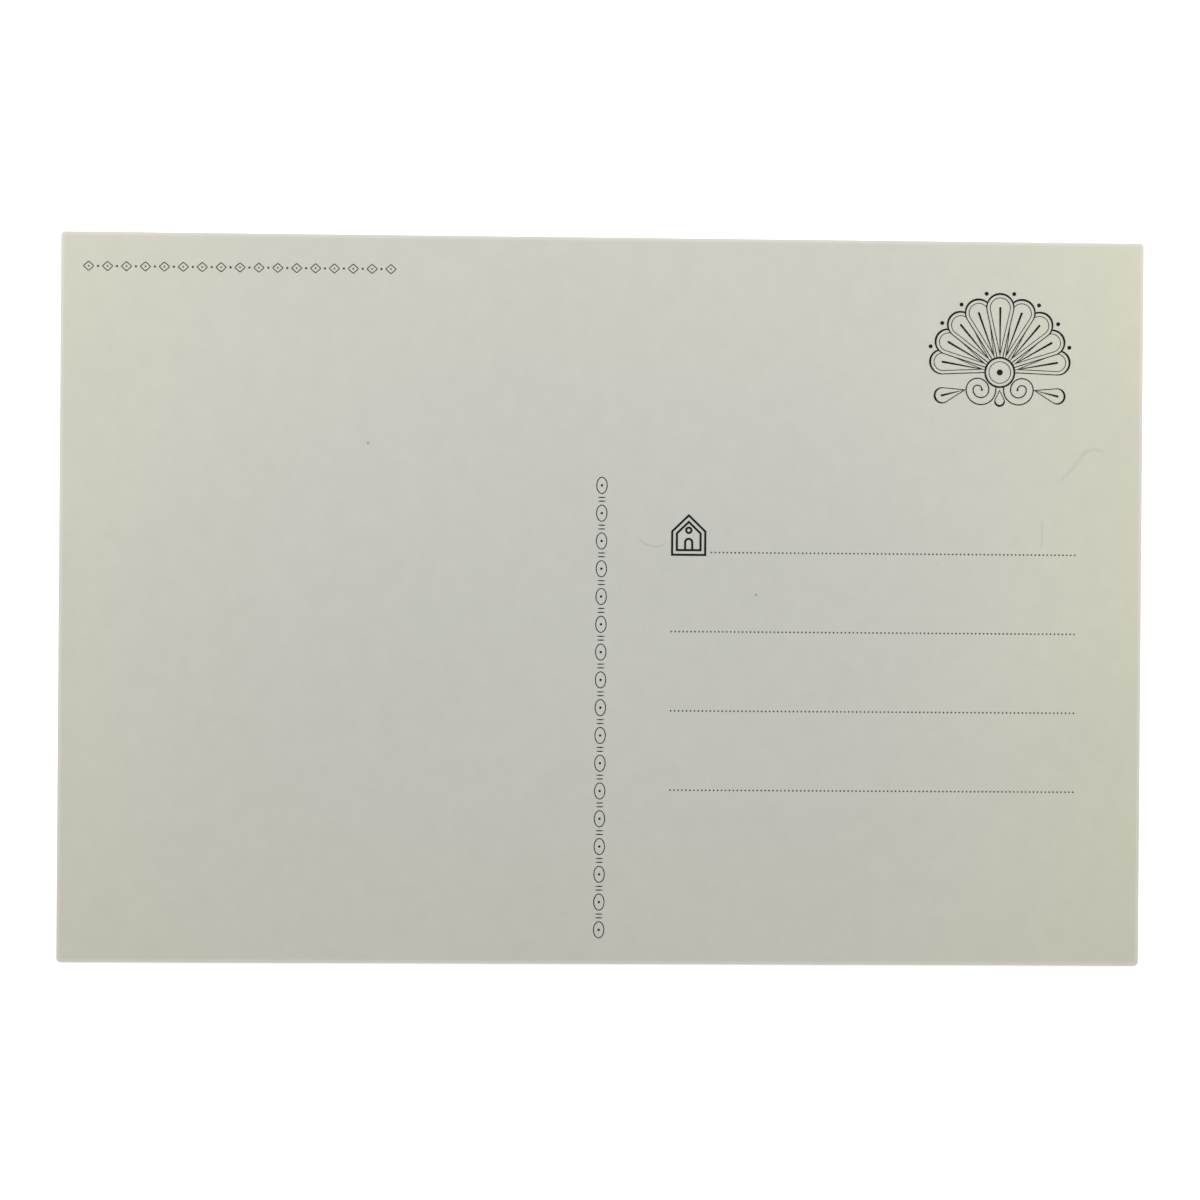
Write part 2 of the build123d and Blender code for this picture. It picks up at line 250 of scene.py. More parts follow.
# The picture: process inks printed edge to edge on the clay, with the shine of the film that covers them.
# It is a plain view over a lake at sunrise, with pines at both sides and a meadow in front, and it stands
# upright when the card is turned like a page. Heights in it are counted from the lake's far shore.
SHORE, LAKE_DEPTH = -9.0, 24.0
SKY = [(0.0, "F6DDB8"), (15.0, "EBD9C8"), (33.0, "A9C4D2"), (60.0, "5E93B8")]
SUN_PLACE, SUN_RADIUS, SUN_GLOW = (-22.0, 21.0), 4.2, 27.0
SUN_BLUR, GLOW_STRENGTH = 0.4, 0.8
SUN, GLOW, CLOUD = "FFF6DC", "FFE0A4", "F9F1E6"
CLOUD_LENGTH, CLOUD_DEPTH, CLOUD_CURL = 34.0, 9.0, 0.4
CLOUD_EDGE, CLOUD_STRENGTH = (0.5, 0.72), 0.8
# Hills from far to near: height, swell and length of the waves, place in the noise, colour, mist at the foot
HILLS = [(16.0, 12.0, 46.0, 3.1, "A7BACB", "DFD6CB"),
         (10.0, 8.0, 33.0, 11.7, "7F9DB4", "CACCCB"),
         (4.5, 6.0, 26.0, 23.4, "55788F", "A5B6BC")]
HILL_BLUR, MIST_DEPTH = 0.1, 14.0
WATER, RIPPLE, GLITTER = "7398AA", "4A7288", "FFEBC2"
RIPPLE_LENGTH, RIPPLE_DEPTH, RIPPLE_SWAY, SUN_PATH = 14.0, 0.9, 20.0, 10.0
# The water's tint at the far shore and near the viewer
FAR_TINT, NEAR_TINT = 0.2, 0.42
# Where in the ripple pattern dark or bright ripples start, where they are full, and how strong they are
DARK_RIPPLES, BRIGHT_RIPPLES = (0.52, 0.75, 0.6), (0.51, 0.38, 0.85)
# Rows of pines from far to near: ground, spacing, place in the noise, height, colour, mist at the foot
FAR_PINES = [(0.1, 1.7, 4.0, 3.4, "4C6F7E", "6D8C97"),
             (0.1, 1.1, 8.0, 2.3, "3F6270", "5F808C")]
NEAR_PINES = [(-5.0, 3.4, 5.0, 14.0, "54766F", "9DB0A6"),
              (-13.0, 4.3, 9.0, 18.0, "2F5049", "6E8A76"),
              (-22.0, 5.4, 2.0, 22.0, "1B3532", "456650")]
PINE_TIERS, SHORTEST_PINE = 8, 0.45
# Half a pine's width at its tip and foot, as a share of the spacing, and a tier's share of that at its top
# and at the tips of its branches
PINE_TIP, PINE_FOOT, TIER_TOP, TIER_TIPS = 0.03, 0.53, 0.7, 1.2
# Tufts of needles, which make the pine's outline ragged and its green uneven
TUFTS, TUFT_REACH, TUFT_SHADE, PINE_EDGE = 4, 0.22, 0.6, (-0.09, -0.05)
# Heights between which mist thickens, as shares of the tallest pine, and the soft edge of the ground
MIST_TOP, MIST_FOOT, GROUND_BLUR = 0.9, -0.3, 0.3
CLEARING, CLEARING_WIDTH, BANK_REACH, BANK_RISE = -20.0, 10.0, 85.0, 30.0
BANK_SWELL, BANK_WAVE = 3.5, 30.0
MEADOW_TOP, MEADOW_SWELL, MEADOW_WAVE, MEADOW_SEED, MEADOW_DEPTH = -24.0, 4.5, 48.0, 2.4, 16.0
GRASS, GRASS_LIT, GRASS_DEEP = "7F8B41", "C9BE6A", "3B5228"
FAR_BLADE, NEAR_BLADE, BLADE_BEND = (0.28, 2.6), (0.75, 8.0), 0.9
BLADE_SHADE, TIP_RISE, TIP_EDGE = (0.6, 0.36), 3.0, (1.4, 1.6)
# Flowers by kind, and bands of them from far to near: room for a plant, the band's middle and half depth
FLOWERS = [(0.0, "F6EED8"), (0.4, "E9B949"), (0.66, "C8523F"), (0.88, "8C7BB4")]
FLOWER_HEART = "A8742B"
FLOWER_BANDS = [(0.9, 2.0, 1.6), (1.6, 5.2, 1.8), (2.5, 9.0, 2.4), (3.6, 14.6, 3.8)]
BAND_SHIFT, PLANT_SCATTER, FLOWERING = (7.3, 3.9), 0.7, 0.6
# Sizes of a flower as shares of a plant's room, then of its heart and smallest bloom as shares of the flower
FLOWER_RADIUS, PETAL_BLUR, HEART_EDGE, SMALLEST_BLOOM = 0.3, 0.04, (0.3, 0.2), 0.6
PETALS, PETAL_DEPTH = 5, 0.45
PRINT_GRAIN, PRINT_UNEVEN = 0.25, 0.06
PICTURE_ROUGHNESS, PICTURE_SHINE, FILM_ROUGHNESS = 0.5, 0.1, 0.06

# Process inks under film: full colour with a fine grain, and an even gloss over it
picture, tree, millimetres = new_material("offset_process_inks")
across = add(tree, "ShaderNodeVectorMath", [millimetres, (-1, 1, 0), (0, -SHORE, 0)],
             operation="MULTIPLY_ADD")
split = add(tree, "ShaderNodeSeparateXYZ", [across])
side, above = split.outputs[0], split.outputs[1]

# Below its far shore the lake mirrors the view, broken by ripples that grow towards the viewer
flat = add(tree, "ShaderNodeMapping", {"Vector": across, "Scale": (1 / RIPPLE_LENGTH, 1 / RIPPLE_DEPTH, 1)})
ripples = add(tree, "ShaderNodeTexNoise", {"Vector": flat, "Scale": 1.0, "Detail": 3.0})
depth = add(tree, "ShaderNodeMapRange", {"Value": above, "From Min": 0.0, "From Max": -LAKE_DEPTH})
sway = add(tree, "ShaderNodeMath", [ripples, RIPPLE_SWAY, -RIPPLE_SWAY / 2], operation="MULTIPLY_ADD")
rise = add(tree, "ShaderNodeMath", [above], operation="ABSOLUTE")
rise = add(tree, "ShaderNodeMath", [sway, depth, rise], operation="MULTIPLY_ADD")
seen = add(tree, "ShaderNodeCombineXYZ", [side, rise])

# Sky, clouds and sun
view = SKY[0][1]
for (start, _), (end, tint) in zip(SKY, SKY[1:]):
    share = add(tree, "ShaderNodeMapRange", {"Value": rise, "From Min": start, "From Max": end})
    view = add(tree, "ShaderNodeMix", {"Factor": share, "A": view, "B": tint}, data_type="RGBA")
streaks = add(tree, "ShaderNodeMapping", {"Vector": seen, "Scale": (1 / CLOUD_LENGTH, 1 / CLOUD_DEPTH, 1)})
clouds = add(tree, "ShaderNodeTexNoise", {"Vector": streaks, "Scale": 1.0, "Detail": 6.0,
                                          "Distortion": CLOUD_CURL})
clouds = add(tree, "ShaderNodeMapRange", {"Value": clouds, "From Min": CLOUD_EDGE[0],
                                          "From Max": CLOUD_EDGE[1], "To Max": CLOUD_STRENGTH},
             interpolation_type="SMOOTHSTEP")
view = add(tree, "ShaderNodeMix", {"Factor": clouds, "A": view, "B": CLOUD}, data_type="RGBA")
to_sun = add(tree, "ShaderNodeVectorMath", [seen, (*SUN_PLACE, 0)], operation="DISTANCE")
for edge, blur, strength, tint in ((0.0, SUN_GLOW, GLOW_STRENGTH, GLOW), (SUN_RADIUS, SUN_BLUR, 1.0, SUN)):
    lit = add(tree, "ShaderNodeMapRange", {"Value": to_sun, "From Min": edge + blur, "From Max": edge,
                                           "To Max": strength}, interpolation_type="SMOOTHSTEP")
    view = add(tree, "ShaderNodeMix", {"Factor": lit, "A": view, "B": tint}, data_type="RGBA")


def rolling_line(base, swell, length, seed, detail):
    """A line that rolls along the view and rises above its base by up to twice the swell."""
    step = add(tree, "ShaderNodeMath", [side, 1 / length, seed], operation="MULTIPLY_ADD")
    wave = add(tree, "ShaderNodeTexNoise", {"W": step, "Scale": 1.0, "Detail": detail}, noise_dimensions="1D")
    return add(tree, "ShaderNodeMath", [wave, 2 * swell, base], operation="MULTIPLY_ADD")


# Hills, each with mist at its foot
for height, swell, length, seed, tint, mist in HILLS:
    crest = rolling_line(height - swell, swell, length, seed, detail=5.0)
    under = add(tree, "ShaderNodeMath", [crest, rise], operation="SUBTRACT")
    hill = add(tree, "ShaderNodeMapRange", {"Value": under, "From Min": -HILL_BLUR, "From Max": HILL_BLUR})
    misty = add(tree, "ShaderNodeMapRange", {"Value": under, "From Min": 0.0, "From Max": MIST_DEPTH})
    slope = add(tree, "ShaderNodeMix", {"Factor": misty, "A": tint, "B": mist}, data_type="RGBA")
    view = add(tree, "ShaderNodeMix", {"Factor": hill, "A": view, "B": slope}, data_type="RGBA")


def pine_row(view, rise, ground, spacing, seed, tallest, tint, mist):
    """Lays a row of pines over the view, and the ground that they stand on: one pine in each cell along the
    row, its tiers of drooping branches as wide as the cell at the foot."""
    height = add(tree, "ShaderNodeMath", [rise, ground], operation="SUBTRACT")
    cell = add(tree, "ShaderNodeMath", [side, 1 / spacing, seed], operation="MULTIPLY_ADD")
    number = add(tree, "ShaderNodeMath", [cell], operation="ROUND")
    chance = add(tree, "ShaderNodeTexWhiteNoise", {"W": number}, noise_dimensions="1D")
    tall = add(tree, "ShaderNodeMapRange", {"Value": chance, "To Min": SHORTEST_PINE * tallest,
                                            "To Max": tallest})
    # Half the tree's width in cells, from the tip down
    down = add(tree, "ShaderNodeMath", [height, tall], operation="DIVIDE")
    down = add(tree, "ShaderNodeMath", [1.0, down], operation="SUBTRACT")
    tier = add(tree, "ShaderNodeMath", [down, PINE_TIERS], operation="MULTIPLY")
    tier = add(tree, "ShaderNodeMath", [tier], operation="FRACT")
    droop = add(tree, "ShaderNodeMath", [tier, TIER_TIPS - TIER_TOP, TIER_TOP], operation="MULTIPLY_ADD")
    spread = add(tree, "ShaderNodeMath", [down, PINE_FOOT - PINE_TIP, PINE_TIP], operation="MULTIPLY_ADD")
    spread = add(tree, "ShaderNodeMath", [spread, droop], operation="MULTIPLY")
    off_trunk = add(tree, "ShaderNodeMath", [cell, 0.5], operation="PINGPONG")
    needles = add(tree, "ShaderNodeTexNoise", {"Vector": across, "Scale": TUFTS / spacing, "Detail": 4.0})
    off_trunk = add(tree, "ShaderNodeMath", [needles, TUFT_REACH, off_trunk], operation="MULTIPLY_ADD")
    within = add(tree, "ShaderNodeMath", [spread, off_trunk], operation="SUBTRACT")
    pine = add(tree, "ShaderNodeMapRange", {"Value": within, "From Min": PINE_EDGE[0],
                                            "From Max": PINE_EDGE[1]})
    earth = add(tree, "ShaderNodeMapRange", {"Value": height, "From Min": GROUND_BLUR, "From Max": 0.0})
    pine = add(tree, "ShaderNodeMath", [pine, earth], operation="MAXIMUM")
    misty = add(tree, "ShaderNodeMapRange", {"Value": height, "From Min": MIST_TOP * tallest,
                                             "From Max": MIST_FOOT * tallest},
                interpolation_type="SMOOTHSTEP")
    shade = add(tree, "ShaderNodeMath", [needles, TUFT_SHADE, -TUFT_SHADE / 2], operation="MULTIPLY_ADD")
    misty = add(tree, "ShaderNodeMath", [misty, shade], operation="ADD", use_clamp=True)
    green = add(tree, "ShaderNodeMix", {"Factor": misty, "A": tint, "B": mist}, data_type="RGBA")
    return add(tree, "ShaderNodeMix", {"Factor": pine, "A": view, "B": green}, data_type="RGBA")


for row in FAR_PINES:
    view = pine_row(view, rise, *row)

# The water's own colour over the mirrored view, dark ripples, and the sun's path on the bright ones
lake = add(tree, "ShaderNodeMath", [above, 0.0], operation="LESS_THAN")
tinted = add(tree, "ShaderNodeMapRange", {"Value": depth, "To Min": FAR_TINT, "To Max": NEAR_TINT})
dark, bright = [add(tree, "ShaderNodeMapRange", {"Value": ripples, "From Min": start, "From Max": full,
                                                 "To Max": strength})
                for start, full, strength in (DARK_RIPPLES, BRIGHT_RIPPLES)]
off_path = add(tree, "ShaderNodeMath", [side, SUN_PLACE[0]], operation="SUBTRACT")
off_path = add(tree, "ShaderNodeMath", [off_path], operation="ABSOLUTE")
on_path = add(tree, "ShaderNodeMapRange", {"Value": off_path, "From Min": SUN_PATH, "From Max": 0.0},
              interpolation_type="SMOOTHSTEP")
bright = add(tree, "ShaderNodeMath", [bright, on_path], operation="MULTIPLY")
for share, tint in ((tinted, WATER), (dark, RIPPLE), (bright, GLITTER)):
    share = add(tree, "ShaderNodeMath", [share, lake], operation="MULTIPLY")
    view = add(tree, "ShaderNodeMix", {"Factor": share, "A": view, "B": tint}, data_type="RGBA")

# Pines on banks that rise to both sides of a clearing
off_clearing = add(tree, "ShaderNodeMath", [side, CLEARING], operation="SUBTRACT")
off_clearing = add(tree, "ShaderNodeMath", [off_clearing], operation="ABSOLUTE")
for ground, spacing, seed, *looks in NEAR_PINES:
    bank = add(tree, "ShaderNodeMapRange", {"Value": off_clearing, "From Min": CLEARING_WIDTH,
                                            "From Max": BANK_REACH, "To Min": ground - BANK_RISE,
                                            "To Max": ground}, interpolation_type="SMOOTHSTEP")
    bank = rolling_line(bank, BANK_SWELL, BANK_WAVE, seed, detail=2.0)
    view = pine_row(view, above, bank, spacing, seed, *looks)

# Meadow: grass that catches the low sun at the top and is deeper in colour near the viewer
crest = rolling_line(MEADOW_TOP - MEADOW_SWELL, MEADOW_SWELL, MEADOW_WAVE, MEADOW_SEED, detail=2.0)
down = add(tree, "ShaderNodeMath", [crest, above], operation="SUBTRACT")
near = add(tree, "ShaderNodeMapRange", {"Value": down, "From Min": 0.0, "From Max": MEADOW_DEPTH})
blades = []
for width, length in (FAR_BLADE, NEAR_BLADE):
    upright = add(tree, "ShaderNodeMapping", {"Vector": across, "Scale": (1 / width, 1 / length, 1)})
    blades.append(add(tree, "ShaderNodeTexNoise", {"Vector": upright, "Scale": 1.0, "Detail": 3.0,
                                                   "Distortion": BLADE_BEND}))
grass = add(tree, "ShaderNodeMix", {"Factor": near, "A": blades[0], "B": blades[1]})
deep = add(tree, "ShaderNodeMapRange", {"Value": grass, "From Min": BLADE_SHADE[0],
                                        "From Max": BLADE_SHADE[1]})
field = add(tree, "ShaderNodeMix", {"Factor": near, "A": GRASS_LIT, "B": GRASS}, data_type="RGBA")
field = add(tree, "ShaderNodeMix", {"Factor": deep, "A": field, "B": GRASS_DEEP}, data_type="RGBA")
for i, (room, middle, half_depth) in enumerate(FLOWER_BANDS):
    patch = add(tree, "ShaderNodeMapping",
                {"Vector": across, "Location": (BAND_SHIFT[0] * i, BAND_SHIFT[1] * i, 0),
                 "Scale": (1 / room, 1 / room, 1)})
    plants = add(tree, "ShaderNodeTexVoronoi",
                 {"Vector": patch, "Scale": 1.0, "Randomness": PLANT_SCATTER}, voronoi_dimensions="2D")
    kind = add(tree, "ShaderNodeSeparateXYZ", [plants.outputs["Color"]])
    off_heart = add(tree, "ShaderNodeVectorMath", [patch, plants.outputs["Position"]], operation="SUBTRACT")
    off_heart = add(tree, "ShaderNodeSeparateXYZ", [off_heart])
    # Round petals: the outline swells and dips along the angle round the flower's heart
    angle = add(tree, "ShaderNodeMath", [off_heart.outputs[1], off_heart.outputs[0]], operation="ARCTAN2")
    angle = add(tree, "ShaderNodeMath", [angle, PETALS / 2], operation="MULTIPLY")
    petal = add(tree, "ShaderNodeMath", [angle], operation="COSINE")
    petal = add(tree, "ShaderNodeMath", [petal], operation="ABSOLUTE")
    petal = add(tree, "ShaderNodeMath", [petal, PETAL_DEPTH, 1 - PETAL_DEPTH], operation="MULTIPLY_ADD")
    size = add(tree, "ShaderNodeMapRange",
               {"Value": kind.outputs[2], "To Min": SMALLEST_BLOOM * FLOWER_RADIUS, "To Max": FLOWER_RADIUS})
    petal = add(tree, "ShaderNodeMath", [petal, size], operation="MULTIPLY")
    inside = add(tree, "ShaderNodeMath", [petal, plants], operation="SUBTRACT")
    bloom = add(tree, "ShaderNodeMapRange", {"Value": inside, "From Min": 0.0, "From Max": PETAL_BLUR})
    # Some of the plants whose heart lies in the band bear a flower
    heart_down = add(tree, "ShaderNodeMath", [off_heart.outputs[1], room, down], operation="MULTIPLY_ADD")
    in_band = add(tree, "ShaderNodeMath", [heart_down, middle, half_depth], operation="COMPARE")
    bears = add(tree, "ShaderNodeMath", [kind.outputs[0], FLOWERING], operation="LESS_THAN")
    for share in (in_band, bears):
        bloom = add(tree, "ShaderNodeMath", [bloom, share], operation="MULTIPLY")
    petals = FLOWERS[0][1]
    for share, tint in FLOWERS[1:]:
        chosen = add(tree, "ShaderNodeMath", [kind.outputs[1], share], operation="GREATER_THAN")
        petals = add(tree, "ShaderNodeMix", {"Factor": chosen, "A": petals, "B": tint}, data_type="RGBA")
    heart = add(tree, "ShaderNodeMapRange", {"Value": plants, "From Min": HEART_EDGE[0] * FLOWER_RADIUS,
                                             "From Max": HEART_EDGE[1] * FLOWER_RADIUS})
    petals = add(tree, "ShaderNodeMix", {"Factor": heart, "A": petals, "B": FLOWER_HEART}, data_type="RGBA")
    field = add(tree, "ShaderNodeMix", {"Factor": bloom, "A": field, "B": petals}, data_type="RGBA")
tips = add(tree, "ShaderNodeMath", [blades[0], TIP_RISE, down], operation="MULTIPLY_ADD")
meadow = add(tree, "ShaderNodeMapRange", {"Value": tips, "From Min": TIP_EDGE[0], "From Max": TIP_EDGE[1]})
view = add(tree, "ShaderNodeMix", {"Factor": meadow, "A": view, "B": field}, data_type="RGBA")

# The fine grain of the printing, drawn coarser than its 0.17 mm screen so that it shows
grain = add(tree, "ShaderNodeTexNoise", {"Vector": millimetres, "Scale": 1 / PRINT_GRAIN, "Detail": 1.0})
grain = add(tree, "ShaderNodeMapRange", {"Value": grain, "To Min": 1 - PRINT_UNEVEN,
                                         "To Max": 1 + PRINT_UNEVEN})
view = add(tree, "ShaderNodeVectorMath", {0: view, "Scale": grain}, operation="SCALE")
inks = add(tree, "ShaderNodeBsdfPrincipled",
           {"Base Color": view, "Roughness": PICTURE_ROUGHNESS, "IOR": RESIN_IOR,
            "Specular IOR Level": PICTURE_SHINE, "Coat Weight": 1.0, "Coat Roughness": FILM_ROUGHNESS,
            "Coat IOR": RESIN_IOR})
add(tree, "ShaderNodeOutputMaterial", {"Surface": inks})
give(card["picture_ink"], picture)

# The gloss film: clear polypropylene, heat-laminated over the picture and trimmed with the card. Its shine
# is on the ink that it covers, so that the sheet itself shows only the fine scuffs that a rack leaves. It
# is drawn two thousandths of a millimetre thinner than the film, so that its inner face clears the ink.
INK_CLEARANCE = 0.002 * MM
CORNER_RADIUS, CORNER_STEPS = 0.6 * MM, 8
SCUFF_LENGTH, SCUFF_WIDTH, SCUFF_TURNS = 14.0, 0.1, (0.5, -0.35)
SCUFF_EDGE, SCUFF_HAZE, SCUFF_ROUGHNESS = (0.68, 0.8), 0.03, 0.4

# Polypropylene film: clear, with a faint haze along the scuffs, drawn wider than real ones so that it shows
film, tree, millimetres = new_material("clear_gloss_laminate")
scuffs = laid_strands(tree, millimetres, SCUFF_LENGTH, SCUFF_WIDTH, SCUFF_TURNS, curl=0.0)
haze = add(tree, "ShaderNodeMapRange", {"Value": scuffs, "From Min": SCUFF_EDGE[0], "From Max": SCUFF_EDGE[1],
                                        "To Max": SCUFF_HAZE})
clear = add(tree, "ShaderNodeBsdfTransparent")
dulled = add(tree, "ShaderNodeBsdfGlossy", {"Roughness": SCUFF_ROUGHNESS})
foil = add(tree, "ShaderNodeMixShader", [haze, clear, dulled])
add(tree, "ShaderNodeOutputMaterial", {"Surface": foil})

low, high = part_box("gloss_film")
outline = []
for quarter in range(4):
    middle_x = high.x - CORNER_RADIUS if quarter in (0, 3) else low.x + CORNER_RADIUS
    middle_y = high.y - CORNER_RADIUS if quarter in (0, 1) else low.y + CORNER_RADIUS
    for i in range(CORNER_STEPS + 1):
        angle = math.pi / 2 * (quarter + i / CORNER_STEPS)
        outline.append((middle_x + CORNER_RADIUS * math.cos(angle),
                        middle_y + CORNER_RADIUS * math.sin(angle)))
count = len(outline)
points = [(x, y, z) for z in (low.z, high.z - INK_CLEARANCE) for x, y in outline]
sides = [(i, (i + 1) % count, count + (i + 1) % count, count + i) for i in range(count)]
mesh = bpy.data.meshes.new("laminate_sheet")
mesh.from_pydata(points, [], [list(range(count))[::-1], list(range(count, 2 * count)), *sides])
mesh.materials.append(film)
laminate = bpy.data.objects.new("laminate_sheet", mesh)
bpy.context.scene.collection.objects.link(laminate)
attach(laminate, "root")
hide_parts("gloss_film")

# The address lines: four rows of fine dots printed in grey ink, each dot a small round drop that has
# soaked a little into the bare paper, so that no two are quite the same size.
ADDRESS_LINES = 4
DOT_RADIUS, DOT_PITCH, DOT_SPREAD = 0.135 * MM, 0.558 * MM, 0.07
DOT_SEGMENTS, DOT_RINGS = 12, 6
INK_FILM = 0.02 * MM
GREY_INK, GREY_INK_THIN = "45453F", "5E5D56"
# The size of the mottle, and where in it the ink starts to thin and is thinnest
INK_MOTTLE, INK_FULL_BELOW, INK_THIN_ABOVE = 0.35, 0.35, 0.75
INK_SMOOTH, INK_ROUGH, INK_SHINE = 0.6, 0.85, 0.15
# A limit far past the card's edges, for points of which only the height is held
PAST_CARD = -1.0


def printed_ink(name, full, thin):
    """Matt ink that has sunk unevenly into bare paper, so that its tone and shine are mottled."""
    material, tree, millimetres = new_material(name)
    mottle = add(tree, "ShaderNodeTexNoise", {"Vector": millimetres, "Scale": 1 / INK_MOTTLE, "Detail": 3.0})
    sunk = add(tree, "ShaderNodeMapRange", {"Value": mottle, "From Min": INK_FULL_BELOW,
                                            "From Max": INK_THIN_ABOVE})
    colour = add(tree, "ShaderNodeMix", {"Factor": sunk, "A": full, "B": thin}, data_type="RGBA")
    matt = add(tree, "ShaderNodeMapRange", {"Value": mottle, "To Min": INK_SMOOTH, "To Max": INK_ROUGH})
    ink = add(tree, "ShaderNodeBsdfPrincipled",
              {"Base Color": colour, "Roughness": matt, "IOR": RESIN_IOR, "Specular IOR Level": INK_SHINE})
    add(tree, "ShaderNodeOutputMaterial", {"Surface": ink})
    return material


def new_tree(name, sizes):
    """A Geometry Nodes tree with a named input for each size, and those inputs."""
    tree = bpy.data.node_groups.new(name, "GeometryNodeTree")
    kinds = {int: "NodeSocketInt", float: "NodeSocketFloat", tuple: "NodeSocketVector"}
    for key, value in sizes.items():
        kind = kinds.get(type(value), "NodeSocketMaterial")
        tree.interface.new_socket(key, in_out="INPUT", socket_type=kind)
    tree.interface.new_socket("Geometry", in_out="OUTPUT", socket_type="NodeSocketGeometry")
    return tree, add(tree, "NodeGroupInput").outputs


def printed_piece(name, tree, sizes, node):
    """Runs a tree with the given sizes and keeps what it makes as a plain mesh in the CAD node's place."""
    piece = bpy.data.objects.new(name, bpy.data.meshes.new(name))
    bpy.context.scene.collection.objects.link(piece)
    press = piece.modifiers.new("press", "NODES")
    press.node_group = tree
    for socket in tree.interface.items_tree:
        if socket.in_out == "INPUT":
            press[socket.identifier] = sizes[socket.name]
    made = piece.evaluated_get(bpy.context.evaluated_depsgraph_get())
    piece.data = bpy.data.meshes.new_from_object(made)
    piece.modifiers.remove(press)
    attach(piece, "root")
    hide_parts(node)


grey_ink = printed_ink("grey_offset_ink", GREY_INK, GREY_INK_THIN)
row_sizes = {"Dots": 2, "Pitch": DOT_PITCH, "Start": (0.0, 0.0, 0.0), "Dot Radius": DOT_RADIUS,
             "Ink Film": INK_FILM, "Spread": DOT_SPREAD, "Seed": 0, "Ink": grey_ink}
tree, given = new_tree("row_of_dots", row_sizes)
# A ball flattened to a dome with a level foot
ball = add(tree, "GeometryNodeMeshUVSphere", {"Segments": DOT_SEGMENTS, "Rings": DOT_RINGS, "Radius": 1.0})
shape = add(tree, "ShaderNodeCombineXYZ", [given["Dot Radius"], given["Dot Radius"], given["Ink Film"]])
where = add(tree, "GeometryNodeInputPosition")
where = add(tree, "ShaderNodeVectorMath", [where, shape], operation="MULTIPLY")
where = add(tree, "ShaderNodeVectorMath", [where, (PAST_CARD, PAST_CARD, 0)], operation="MAXIMUM")
dome = add(tree, "GeometryNodeSetPosition", {"Geometry": ball, "Position": where})
step = add(tree, "ShaderNodeCombineXYZ", [given["Pitch"]])
row = add(tree, "GeometryNodeMeshLine", {"Count": given["Dots"], "Start Location": given["Start"],
                                         "Offset": step})
least = add(tree, "ShaderNodeMath", [1.0, given["Spread"]], operation="SUBTRACT")
size = add(tree, "FunctionNodeRandomValue", {"Min": least, "Max": 1.0, "Seed": given["Seed"]})
dots = add(tree, "GeometryNodeInstanceOnPoints", {"Points": row, "Instance": dome, "Scale": size})
dots = add(tree, "GeometryNodeRealizeInstances", [dots])
dots = add(tree, "GeometryNodeSetMaterial", {"Geometry": dots, "Material": given["Ink"]})
add(tree, "NodeGroupOutput", [dots])

for number in range(1, ADDRESS_LINES + 1):
    low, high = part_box(f"address_line_{number}")
    row_sizes["Dots"] = round((high.x - low.x - 2 * DOT_RADIUS) / DOT_PITCH) + 1
    row_sizes["Start"] = (low.x + DOT_RADIUS, (low.y + high.y) / 2, low.z)
    row_sizes["Seed"] = number
    printed_piece(f"dotted_line_{number}", tree, row_sizes, f"address_line_{number}")

# The divider: a bead-and-reel rule printed in black ink down the card near its middle, between the place
# for the message and the place for the address. The ink stands as a low ridge along each line.
BEADS = 17
BEAD_LENGTH, BEAD_STROKE, BEAD_EYE = 2.4 * MM, 0.14 * MM, 0.18 * MM
REEL_LENGTH, REEL_WIDTH, REEL_GAP = 0.17 * MM, 1.1 * MM, 0.36 * MM
BLACK_INK, BLACK_INK_THIN = "0C0C0D", "1C1C1D"
LINE_SIDES, OVAL_STEPS, SPOT_SEGMENTS, SPOT_RINGS = 8, 40, 16, 6


def inked_line(tree, path, stroke, ink_film):
    """Sweeps a path with the low, round section of a line of ink."""
    half_stroke = add(tree, "ShaderNodeMath", [stroke, 0.5], operation="MULTIPLY")
    section = add(tree, "GeometryNodeCurvePrimitiveCircle", {"Resolution": LINE_SIDES, "Radius": 1.0})
    section_size = add(tree, "ShaderNodeCombineXYZ", [half_stroke, ink_film, 1.0])
    section = add(tree, "GeometryNodeTransform", {"Geometry": section, "Scale": section_size})
    path = add(tree, "GeometryNodeSetCurveNormal", {"Curve": path}, mode="Z_UP")
    return add(tree, "GeometryNodeCurveToMesh", {"Curve": path, "Profile Curve": section})


def inked_spot(tree, width, length, ink_film):
    """A ball flattened to an oval spot of ink."""
    ball = add(tree, "GeometryNodeMeshUVSphere",
               {"Segments": SPOT_SEGMENTS, "Rings": SPOT_RINGS, "Radius": 0.5})
    full_height = add(tree, "ShaderNodeMath", [ink_film, 2.0], operation="MULTIPLY")
    size = add(tree, "ShaderNodeCombineXYZ", [width, length, full_height])
    return add(tree, "GeometryNodeTransform", {"Geometry": ball, "Scale": size})


